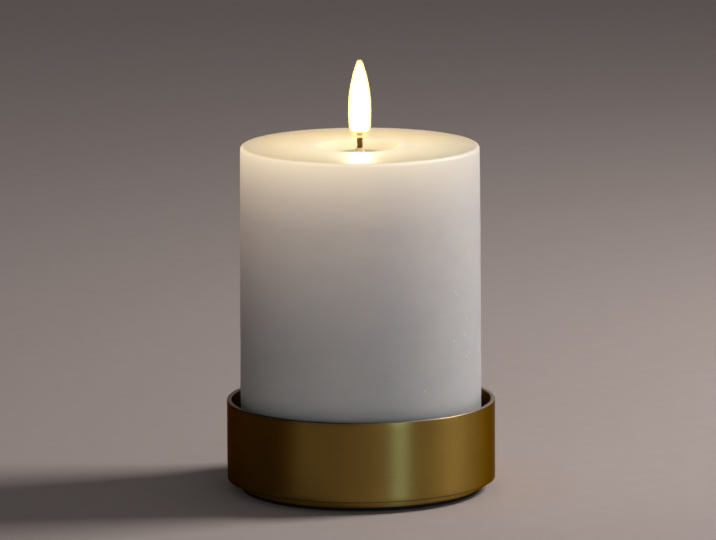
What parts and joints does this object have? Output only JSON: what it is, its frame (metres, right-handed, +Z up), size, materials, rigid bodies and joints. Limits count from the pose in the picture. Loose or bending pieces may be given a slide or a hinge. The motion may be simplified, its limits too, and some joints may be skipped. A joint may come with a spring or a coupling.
{
  "type": "candle ring",
  "caption": "Low brushed brass candle ring on a stepped base, holding a removable white wax pillar lamp with a flame-shaped lens on a wick.",
  "frame": {"origin": "centre of the foot pad's underside, on the surface that the ring stands on", "axes": "+Z up along the axis of the ring and the candle, -Y towards the viewer of the picture, +X to the viewer's right"},
  "size_m": [0.0866, 0.0866, 0.1395],
  "materials": {
    "ring_brass": "satin, brushed round the ring",
    "pad_black": "matt foam",
    "wax_white": "smooth white wax with faint drawn lines",
    "core_white": "moulded",
    "base_ivory": "moulded, fine spark texture",
    "contact_nickel": "nickel plated",
    "cell_sleeve": "plain dark shrink sleeve",
    "switch_tin": "tinned",
    "knob_black": "moulded",
    "screw_zinc": "zinc plated",
    "foot_rubber": "matt",
    "board_green": "solder mask",
    "chip_black": "moulded",
    "crystal_can": "drawn can",
    "capacitor_sleeve": "plain sleeve",
    "resistor_black": "glazed",
    "receiver_black": "dark filter plastic",
    "holder_ivory": "moulded",
    "wick_brown": "matt sleeve",
    "led_white": "phosphor",
    "flame_lens": "frosted, lit from inside",
    "lead_red": "insulation",
    "lead_black": "insulation"
  },
  "bodies": {
    "ring": {"ring_wall": "ring_brass", "ring_base": "ring_brass", "foot_pad": "pad_black"},
    "candle": {"wax_pillar": "wax_white", "core_sleeve": "core_white", "battery_housing": "base_ivory", "cell_left": "cell_sleeve", "cell_right": "cell_sleeve", "contact_plates": "contact_nickel", "contact_spring": "contact_nickel", "switch_body": "switch_tin", "base_screws": "screw_zinc", "candle_feet": "foot_rubber", "control_board": "board_green", "board_screws": "screw_zinc", "timer_chip": "chip_black", "timing_crystal": "crystal_can", "board_capacitors": "capacitor_sleeve", "board_resistors": "resistor_black", "lamp_board": "board_green", "remote_receiver": "receiver_black", "wick_holder": "holder_ivory", "wick": "wick_brown", "flame_led": "led_white", "flame_lens": "flame_lens", "lamp_leads": "lead_red", "switch_leads": "lead_black"},
    "battery_cover": {"battery_cover": "base_ivory", "bridge_contact": "contact_nickel"},
    "power_switch": {"switch_knob": "knob_black"}
  },
  "joints": [
    {"name": "candle_lift", "type": "slide", "parent": "ring", "child": "candle", "axis": [0, 0, 1], "range_m": [0, 0.032]},
    {"name": "cover_twist", "type": "hinge", "parent": "candle", "child": "battery_cover", "pos_m": [0, 0, 0.008], "axis": [0, 0, -1], "range_deg": [0, 35]},
    {"name": "switch_slide", "type": "slide", "parent": "candle", "child": "power_switch", "axis": [1, 0, 0], "range_m": [-0.002, 0.002]}
  ]
}
